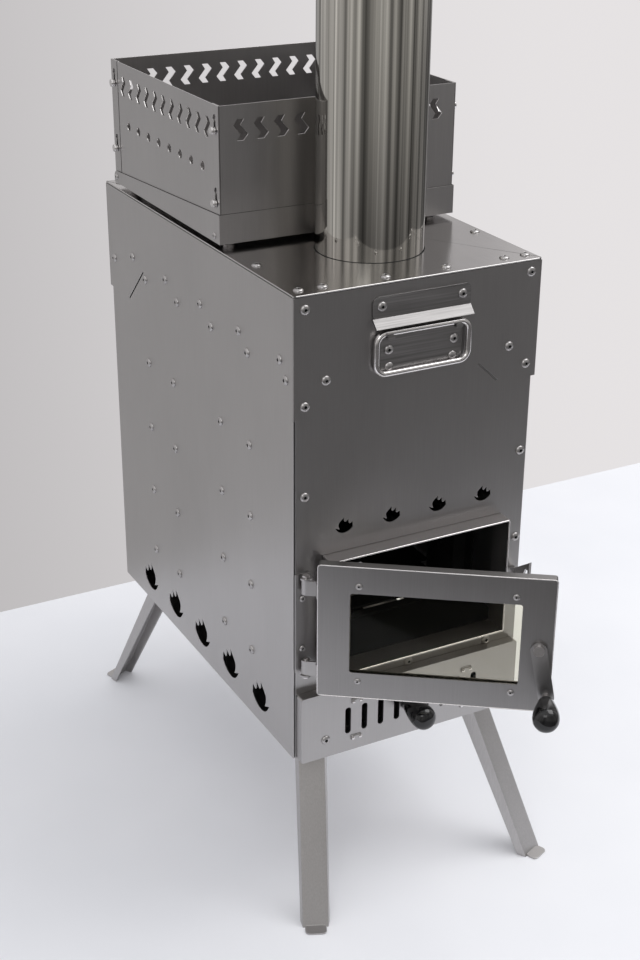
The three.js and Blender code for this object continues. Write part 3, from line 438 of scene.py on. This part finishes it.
def rounded_path(low_u, high_u, low_v, high_v, corner, steps):
    """Points round a rectangle with rounded corners, in order."""
    points = []
    for u, v, start in (
        (high_u - corner, high_v - corner, 0), (low_u + corner, high_v - corner, 90),
        (low_u + corner, low_v + corner, 180), (high_u - corner, low_v + corner, 270),
    ):
        for step in range(steps + 1):
            angle = math.radians(start + 90 * step / steps)
            points.append((u + corner * math.cos(angle), v + corner * math.sin(angle)))
    return points


def tube_mesh(name, path, radius, across, sides=16):
    """Round wire along a closed path that lies in the plane square to the direction across."""
    work = bmesh.new()
    rings = []
    count = len(path)
    for index, point in enumerate(path):
        along = (path[(index + 1) % count] - path[index - 1]).normalized()
        out = along.cross(across).normalized()
        rings.append([])
        for k in range(sides):
            angle = 2 * math.pi * k / sides
            spoke = across * math.cos(angle) + out * math.sin(angle)
            rings[-1].append(work.verts.new(point + spoke * radius))
    for index in range(count):
        now, after = rings[index], rings[(index + 1) % count]
        for k in range(sides):
            beside = (k + 1) % sides
            work.faces.new([now[k], now[beside], after[beside], after[k]])
    mesh = mesh_of(work, name)
    smooth_by_angle(mesh)
    return mesh


def scaled(profile):
    """A profile given in mm, in metres."""
    return [(radius * MM, height * MM) for radius, height in profile]


def fasteners(name, body, direction, points, kind=RIVET, material=rivet_steel, turn=None):
    """Heads of one kind on one face, each hollow holding a near-black disc of painted shade: points are where the
    heads sit.
    """
    places = [facing(direction, point) for point in points]
    if turn:
        places = [turn @ place for place in places]
    heads = [(scaled(kind["head"]), place) for place in places]
    turned_piece(name, material, body, heads)
    if "hollow" in kind:
        hollow_shades = [(scaled(kind["hollow"]), place) for place in places]
        turned_piece(name + "_hollows", hollow_painted_shade, body, hollow_shades, 12)


def on_front(points, y=front):
    """(mm from the left edge, mm above the floor) on a plane facing the front."""
    return [Vector((left + u * MM, y, z * MM)) for u, z in points]


fasteners("front_rivets", "stove_body", (0, -1, 0), on_front([
    (12.5, 704), (12.5, 603), (12.5, 504), (276, 705.5), (276, 604.5), (276, 504),
    (277, 398.5), (36, 627), (253.5, 627.5), (143, 274.8), (245, 275), (12.5, 398.5),
]))

side_rows = [
    *[(y, 645) for y in (419.6, 321.4, 224.6, 126.9, 30.9)],
    *[(y, 627.5) for y in (480, 382.7, 289.3, 196.5, 105.8, 17.6)],
    *[(y, z) for y in (380.5, 306.8, 176, 103.4) for z in (524.5, 441, 357, 273.5)],
]
fasteners("left_side_rivets", "stove_body", (-1, 0, 0), [
    Vector((left, front + y * MM, z * MM)) for y, z in side_rows
])
fasteners("right_side_rivets", "stove_body", (1, 0, 0), [
    Vector((right, front + y * MM, z * MM)) for y, z in side_rows
])
fasteners("back_rivets", "stove_body", (0, 1, 0), [
    Vector((x * MM, rear if z * MM > BAND_LOW else lower_rear, z * MM))
    for x in (-132, 132) for z in (704, 604, 504, 400, 300, 204)
])
fasteners("top_rivets", "stove_body", (0, 0, 1), [
    Vector((left + x * MM, front + y * MM, top)) for x, y in (
        (13, 15.5), (39.6, 15.5), (110.5, 15.5), (181.3, 15.5), (252, 15.5), (277.6, 15.5),
        (12.5, 107), (277.7, 111), (12.5, 483), (144.5, 485), (277.5, 483),
    )
])

# ---------------------------------------------------------------- body sheets

top_rounding = 1.1 * MM
flue_reach = 70 * MM


def near_flue(place):
    """Whether an edge belongs to the flue's hole, which stays sharp."""
    return (place.x - pipe_x) ** 2 + (place.y - pipe_y) ** 2 < flue_reach ** 2


eased("top_plate", top_steel, top_rounding, 3, spare=near_flue, inward=(0, 0, -1))
eased("front_panel", front_steel_painted_shade, inward=(0, 1, 0))
eased("left_side_panel", side_steel, inward=(1, 0, 0))
eased("right_side_panel", side_steel, inward=(-1, 0, 0))
eased("back_panel", side_steel, inward=(0, -1, 0))
eased("door_collar", inner_steel)
eased("air_panel", trim_steel)


def collar_hem_highlight():
    """The hem round the collar's mouth, half sunk into its sheet; its rounded shape is real, and its brighter
    steel is a painted highlight.
    """
    low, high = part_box("door_collar")
    radius = 0.95 * MM
    sunk = 0.5 * MM
    half_sheet = COLLAR_SHEET / 2
    u = COLLAR_WIDTH / 2 - half_sheet
    low_rise = 1.1 * MM
    low_v = low.z + COLLAR_FLANGE - PIECE_GAP * 2 + low_rise
    high_v = high.z - COLLAR_FLANGE - half_sheet
    path = rounded_path(-u, u, low_v, high_v, 1.2 * MM, 3)
    mesh = tube_mesh(
        "collar_hem_highlight", [Vector((x, low.y + sunk, z)) for x, z in path], radius, Vector((0, 1, 0)), 12,
    )
    finished(mesh, "collar_hem_highlight", polished_and_highlight, "stove_body")


def slit_tongue():
    """The bent tongue that all but closes the front panel's sloping slit."""
    from_right = 61 * MM
    from_top = 116 * MM
    middle = Vector((right - from_right, front, top - from_top))
    run = Vector((12.5 * MM, 0, -11.5 * MM))
    aside = Vector((run.z, 0, -run.x)).normalized()
    work = bmesh.new()
    rings = []
    for depth, half_width in ((1.1, 0.65), (0.65, 0.65), (0.5, 0.45)):
        sunk = middle + Vector((0, depth * MM, 0))
        rings.append([
            work.verts.new(sunk + run * along + aside * (across * half_width * MM))
            for along, across in ((-1, -1), (1, -1), (1, 1), (-1, 1))
        ])
    join_rings(work, rings)
    finished(mesh_of(work, "slit_tongue"), "slit_tongue", front_steel_painted_shade, "stove_body")


def corner_fold():
    """The left side's folded front edge, which closes the corner below the band."""
    outer = left + 0.08 * MM
    inner = outer + 1.3 * MM
    near = front + 1 * MM
    far = front + 9 * MM
    ease = 0.3 * MM
    outline = [
        (outer, far), (outer, near + ease), (outer + ease, near), (inner - ease, near),
        (inner, near + ease), (inner, far),
    ]
    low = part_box("left_side_panel")[0].z + PIECE_GAP
    high = BAND_LOW - 0.5 * MM
    work = bmesh.new()
    join_rings(work, [[work.verts.new((x, y, z)) for x, y in outline] for z in (low, high)])
    finished(mesh_of(work, "corner_fold"), "corner_fold", side_steel, "stove_body")


collar_hem_highlight()
slit_tongue()
corner_fold()

# ---------------------------------------------------------------- chimney pipe

pipe_radius = (pipe_high.x - pipe_low.x) / 2
pipe_length = pipe_high.z - pipe_low.z
pipe_wall = 1 * MM
bore = pipe_radius - pipe_wall
pipe_profile = [
    (bore, 0), (pipe_radius, 0), (pipe_radius, pipe_length - 0.8 * MM),
    (pipe_radius - 0.3 * MM, pipe_length), (pipe_radius - 0.8 * MM, pipe_length),
    (bore, pipe_length - 0.5 * MM), (bore, 0),
]
pipe_piece = turned_piece("chimney_pipe_wall", pipe_steel, "chimney", [
    (pipe_profile, Matrix.Translation((pipe_x, pipe_y, pipe_low.z))),
], sides=160)
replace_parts(pipe_piece, "chimney_pipe")

# Painted shadow: a thin near-black ring on the top plate round the pipe, for the shade in the gap between pipe and
# plate.
gap_shadow_inner = pipe_radius + 0.1 * MM
gap_shadow_outer = gap_shadow_inner + 0.9 * MM
gap_shadow_low = -0.3 * MM
gap_shadow_high = 0.25 * MM
gap_shadow_profile = [
    (gap_shadow_inner, gap_shadow_low), (gap_shadow_outer, gap_shadow_low), (gap_shadow_outer, 0.1 * MM),
    (gap_shadow_outer - 0.2 * MM, gap_shadow_high), (gap_shadow_inner, gap_shadow_high), (gap_shadow_inner, gap_shadow_low),
]
turned_piece("flue_gap_shadow", soot_and_painted_shade, "stove_body", [
    (gap_shadow_profile, Matrix.Translation((pipe_x, pipe_y, top))),
], sides=96)

# ---------------------------------------------------------------- door and latch

eased("door_pan", door_steel_painted_shade)


def on_door(points):
    """(mm from the hinged edge, mm above the lower edge) on the door's face, before the door turns."""
    return [Vector((DOOR_NEAR + u * MM, -DOOR_FACE, z * MM - DOOR_HEIGHT / 2)) for u, z in points]


def door_edge_bead_highlight():
    """The rolled edge round the door's face; its rounded shape is real, and its brighter steel is a painted
    highlight.
    """
    sunk = 0.3 * MM
    radius = 0.6 * MM
    outline = rounded_path(
        DOOR_NEAR, DOOR_NEAR + DOOR_WIDTH, -DOOR_HEIGHT / 2, DOOR_HEIGHT / 2, DOOR_CORNER, 4,
    )
    path = [door_turn @ Vector((u, sunk - DOOR_FACE, v)) for u, v in outline]
    outwards = door_turn.to_3x3() @ Vector((0, -1, 0))
    mesh = tube_mesh("door_edge_bead_highlight", path, radius, outwards, 12)
    finished(mesh, "door_edge_bead_highlight", polished_and_highlight, "door")


door_edge_bead_highlight()

fasteners("door_screws", "door", (0, -1, 0), on_door([
    (42.5, 133), (202.5, 133), (42.5, 20), (202.5, 20),
]), SMALL_RIVET, turn=door_turn)

# (radius, height) in mm, from the end that sits on the stud.
KNOB = [
    (0, 0), (6.5, 0), (7.5, 0.5), (8.4, 2.0), (9.6, 7.0), (11.2, 13.0), (12.7, 19.5), (13.7, 26.0),
    (14.0, 31.0), (13.5, 35.5), (11.9, 39.4), (9.2, 42.2), (5.4, 43.6), (2.5, 43.95), (0, 44),
]


def knob(name, node, origin, direction):
    """A drop-shaped knob in place of a CAD node."""
    piece = turned_piece(
        name, resin, body_of_node(node), [(scaled(KNOB), facing(direction, origin))], 48,
    )
    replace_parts(piece, node)


outward = Vector(latch_joint["axis"]).normalized()
tilt = math.radians(LEVER_TILT)
sideways = Vector((math.cos(door_angle), math.sin(door_angle), 0))
downwards = Vector((0, 0, -1))
lever_end = pivot + (sideways * math.sin(tilt) + downwards * math.cos(tilt)) * LEVER_LENGTH
stud_reach = LEVER_SHEET + STUD_LENGTH - STUD_SUNK + PIECE_GAP
knob("lever_grip", "lever_knob", lever_end + outward * stud_reach, outward)

shutter_low, shutter_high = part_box("shutter_knob")
shutter_x = (shutter_low.x + shutter_high.x) / 2
shutter_z = (shutter_low.z + shutter_high.z) / 2
air_face = front - AIR_PANEL_DEPTH
knob("shutter_grip", "shutter_knob", (shutter_x, air_face - PIECE_GAP, shutter_z), (0, -1, 0))
fasteners("air_panel_rivets", "stove_body", (0, -1, 0), on_front([
    (32.8, 211.6), (250.2, 211.6),
], air_face))

bridge_marks = [
    Vector(((x + way * 4.5) * MM, air_face - AIR_BRIDGE_RISE, z * MM))
    for x in (-73.7, 67.7) for z in (252, 205) for way in (-1, 1)
]
fasteners("air_bridge_studs", "stove_body", (0, -1, 0), bridge_marks, BRIDGE_STUD, polished_and_highlight)
hinge_plate_rise = 3 * MM
fasteners("hinge_screws", "stove_body", (0, -1, 0), [
    Vector((hinge.x, front - hinge_plate_rise, z * MM)) for z in (389, 329)
], SMALL_RIVET)

# ---------------------------------------------------------------- handles


def wire_loop(name, node, centre_y, body):
    """The bail: a closed loop of round wire with rounded corners."""
    low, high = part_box(node)
    wire = (high.y - low.y) / 2
    corner = 11 * MM
    path = rounded_path(-high.x + wire, high.x - wire, low.z + wire, high.z - wire, corner, 8)
    mesh = tube_mesh(name, [Vector((x, centre_y, z)) for x, z in path], wire, Vector((0, 1, 0)))
    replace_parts(finished(mesh, name, polished_and_highlight, body), node)


for side, way in (("front", -1), ("rear", 1)):
    bail_low, bail_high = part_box("handle_bail_" + side)
    wire_loop("bail_" + side, "handle_bail_" + side, (bail_low.y + bail_high.y) / 2, side + "_bail")
    eased("handle_plate_" + side, hood_steel, shortest=6 * MM)
    wall = front if way < 0 else rear
    face = wall + way * PLATE_RISE
    fasteners("handle_rivets_" + side, "stove_body", (0, way, 0), on_front([
        (97.5, 695), (191.5, 695), (106, 648.5), (183, 648.5),
    ], face))
    fasteners("handle_lugs_" + side, "stove_body", (0, way, 0), on_front([
        (107, 630), (182, 630),
    ], face), CAP)

# ---------------------------------------------------------------- the other nodes keep their shape

plain = {
    inner_steel: ["base_plate", "glass_retainer"],
    soot_and_painted_shade: ["firebox_floor", "grate", "ash_pan", "baffle_shelf", "air_duct_left_front", "air_duct_left_rear",
            "air_duct_right_front", "air_duct_right_rear", "air_shutter"],
    # The flue socket is painted near-black: painted shade in the socket round the pipe.
    hollow_painted_shade: ["flue_socket"],
    trim_steel: ["hinge_bracket", "latch_catch", "latch_lever", "door_hinge_arm_upper",
                 "door_hinge_arm_lower"],
    polished_and_highlight: ["hinge_pin_upper", "hinge_pin_lower", "latch_bolt", "leg_pin_front_left",
               "leg_pin_front_right", "leg_pin_rear_left", "leg_pin_rear_right"],
    glass: ["door_glass"],
    leg_steel: ["leg_bracket_front_left", "leg_bracket_front_right", "leg_bracket_rear_left",
                "leg_bracket_rear_right"],
}
for material, nodes in plain.items():
    for node in nodes:
        mesh = frame["nodes"][node].data
        mesh.materials.clear()
        mesh.materials.append(material)

for corner in ("front_left", "front_right", "rear_left", "rear_right"):
    eased("leg_" + corner, leg_steel, 0.5 * MM)

for wall in ("tray", "front_panel", "left_panel", "right_panel", "back_panel"):
    eased("basket_" + wall, basket_steel, 0.25 * MM)

tray_low, tray_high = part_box("basket_tray")
stud_cap = [(4.2, 0), (4.2, 3.6), (3.8, 4.2), (2.6, 4.5), (0, 4.6)]
stud_root = 142.2 * MM
tray_front_rivet = 731.3 * MM
tray_rear_rivet = 731.5 * MM
for way in (-1, 1):
    turned_piece("stud_caps_" + ("left" if way < 0 else "right"), polished_and_highlight, "stone_basket", [
        (scaled(stud_cap), facing((way, 0, 0), (way * stud_root, y * MM, z * MM)))
        for y in (11, 289.3) for z in (842, 766.5)
    ])

for way, edge in ((-1, tray_low.x), (1, tray_high.x)):
    fasteners("tray_rivets_" + ("left" if way < 0 else "right"), "stone_basket", (way, 0, 0), [
        Vector((edge, tray_low.y + 13.3 * MM, tray_front_rivet)),
        Vector((edge, tray_high.y - 7 * MM, tray_rear_rivet)),
    ], SMALL_RIVET)


def tray_gap_shadow():
    """A painted shadow: a thin dark strip along the gap where the basket's walls drop into the tray, along the
    front, then down each side.
    """
    width = 1.0 * MM
    lift = Vector((0, 0, 0.15 * MM))
    x = 141.6 * MM
    front_y = tray_low.y + 1.4 * MM
    rear_y = tray_high.y - 7 * MM
    front_z = tray_high.z
    rear_z = front_z - 17.5 * MM
    front_left = Vector((-x, front_y, front_z))
    front_right = Vector((x, front_y, front_z))
    rear_left = Vector((-x, rear_y, rear_z))
    rear_right = Vector((x, rear_y, rear_z))
    work = bmesh.new()
    for start, end in ((front_left, front_right), (front_left, rear_left), (front_right, rear_right)):
        along = (end - start).normalized()
        aside = Vector((along.y, -along.x, 0)).normalized() * width / 2
        section = [
            -aside - lift, aside - lift, aside + lift * 0.6, aside * 0.7 + lift, -aside * 0.7 + lift,
            -aside + lift * 0.6,
        ]
        ends = (start - along * width / 2, end + along * width / 2)
        join_rings(work, [[work.verts.new(point + offset) for offset in section] for point in ends])
    finished(mesh_of(work, "tray_gap_shadow"), "tray_gap_shadow", soot_and_painted_shade, "stone_basket")


tray_gap_shadow()

# ---------------------------------------------------------------- studio

floor_left = -1.6
floor_right = 1.9
floor_front = -0.74
floor_rear = 0.62


def sheet_of_floor():
    """A plain pale floor with faint broad clouds of painted shade for the cloth's soft folds."""
    material, nodes, links, shader = new_material("floor_cloth")
    painted_fold_shade = noise(nodes, links, 2.2, (1, 1, 1), detail=3.0)
    links.new(ramp(nodes, links, painted_fold_shade, [
        (0.3, (0.80, 0.81, 0.84, 1)), (0.7, (0.86, 0.865, 0.89, 1)),
    ]), shader.inputs["Base Color"])
    shader.inputs["Roughness"].default_value = 0.9
    shader.inputs["Specular IOR Level"].default_value = 0.1
    mesh = bpy.data.meshes.new("floor")
    corners = [
        (floor_left, floor_front, 0), (floor_right, floor_front, 0),
        (floor_right, floor_rear, 0), (floor_left, floor_rear, 0),
    ]
    mesh.from_pydata(corners, [], [(0, 1, 2, 3)])
    floor = link(bpy.data.objects.new("floor", mesh))
    mesh.materials.append(material)


sheet_of_floor()


def studio_world():
    """A pale room: the wall's tone behind the stove, and a darker room in front of it for its gloss."""
    world = bpy.data.worlds.new("studio")
    bpy.context.scene.world = world
    world.use_nodes = True
    nodes, links = world.node_tree.nodes, world.node_tree.links
    nodes.clear()
    place = nodes.new("ShaderNodeTexCoord")
    split = nodes.new("ShaderNodeSeparateXYZ")
    links.new(place.outputs["Generated"], split.inputs[0])

    def slope(axis, low, high):
        """From 0 to 1 as a direction's part along the axis goes from low to high."""
        node = nodes.new("ShaderNodeMapRange")
        node.interpolation_type = "SMOOTHSTEP"
        node.inputs["From Min"].default_value = low
        node.inputs["From Max"].default_value = high
        links.new(split.outputs[axis], node.inputs["Value"])
        return node.outputs["Result"]

    def uprights(low, high):
        """Light and dark uprights round the room, the same at every height."""
        flat = nodes.new("ShaderNodeVectorMath")
        flat.operation = "MULTIPLY"
        flat.inputs[1].default_value = (1, 1, 0)
        links.new(place.outputs["Generated"], flat.inputs[0])
        ring = nodes.new("ShaderNodeVectorMath")
        ring.operation = "NORMALIZE"
        links.new(flat.outputs[0], ring.inputs[0])
        texture = nodes.new("ShaderNodeTexNoise")
        texture.inputs["Scale"].default_value = 5.0
        texture.inputs["Detail"].default_value = 4.0
        links.new(ring.outputs[0], texture.inputs["Vector"])
        return ramp(nodes, links, texture.outputs["Fac"], [(0.35, grey(low)), (0.65, grey(high))])

    def choose(chance, otherwise, chosen):
        """The colour chosen where chance is 1, and otherwise the other."""
        mixed = nodes.new("ShaderNodeMix")
        mixed.data_type = "RGBA"
        links.new(chance, mixed.inputs["Factor"])
        links.new(otherwise, mixed.inputs["A"])
        links.new(chosen, mixed.inputs["B"])
        return mixed.outputs["Result"]

    def plain(colour):
        """One colour for every direction."""
        node = nodes.new("ShaderNodeRGB")
        node.outputs[0].default_value = colour
        return node.outputs[0]

    wall = choose(slope("X", 0.10, 0.62), plain((0.475, 0.46, 0.465, 1)), plain((0.79, 0.765, 0.77, 1)))
    carpet = plain((0.165, 0.16, 0.16, 1))
    room = plain((0.50, 0.49, 0.48, 1))
    before = choose(slope("Z", -0.30, 0.10), carpet, room)
    low_right = choose(slope("X", -0.05, 0.35), plain((0.62, 0.61, 0.61, 1)), plain((0.24, 0.235, 0.235, 1)))
    behind = choose(slope("Z", -0.15, 0.15), low_right, plain((0.80, 0.78, 0.78, 1)))
    around = choose(slope("Y", -0.45, 0.25), before, behind)
    ceiling = choose(slope("Z", 0.55, 0.80), around, plain((0.95, 0.95, 0.95, 1)))
    gloss = blend_colours(nodes, links, "MULTIPLY", 1.0, ceiling, uprights(0.3, 1.5))
    path = nodes.new("ShaderNodeLightPath")
    unseen = choose(path.outputs["Is Glossy Ray"], plain((0.81, 0.81, 0.83, 1)), gloss)
    shown = choose(path.outputs["Is Camera Ray"], unseen, wall)
    background = nodes.new("ShaderNodeBackground")
    output = nodes.new("ShaderNodeOutputWorld")
    links.new(shown, background.inputs["Color"])
    background.inputs["Strength"].default_value = 1.0
    links.new(background.outputs["Background"], output.inputs["Surface"])


studio_world()


def softbox(name, place, target, size, watts):
    """A square lamp aimed at a point."""
    lamp = bpy.data.lights.new(name, "AREA")
    lamp.shape = "RECTANGLE"
    lamp.size = lamp.size_y = size
    lamp.energy = watts
    holder = link(bpy.data.objects.new(name, lamp))
    aim = Vector(target) - Vector(place)
    holder.matrix_world = Matrix.Translation(place) @ aim.to_track_quat("-Z", "Y").to_matrix().to_4x4()


softbox("fill_box", (-1.5, -1.9, 2.2), (-0.2, -0.3, 0.0), 1.2, 9)
softbox("key_box", (1.5, -0.45, 2.6), (0.25, -0.2, 0.0), 1.8, 32)

# ---------------------------------------------------------------- camera

azimuth = math.radians(-28.098)
elevation = math.radians(24.792)
roll = math.radians(0.417)
ahead = Vector((
    -math.sin(azimuth) * math.cos(elevation), math.cos(azimuth) * math.cos(elevation), -math.sin(elevation),
))
level = Vector((math.cos(azimuth), math.sin(azimuth), 0))
above = level.cross(ahead)
across = level * math.cos(roll) + above * math.sin(roll)
upwards = above * math.cos(roll) - level * math.sin(roll)
camera_data = bpy.data.cameras.new("camera")
camera_data.sensor_width = 36
camera_data.lens = 59.91
camera = link(bpy.data.objects.new("camera", camera_data))
turn = Matrix((across, upwards, -ahead)).transposed().to_4x4()
camera.matrix_world = Matrix.Translation(
    (left - 0.66442, front - 1.30089, 1.20097)
) @ turn
camera_data.clip_start = 0.05
bpy.context.scene.camera = camera
bpy.context.scene.view_settings.view_transform = "Standard"
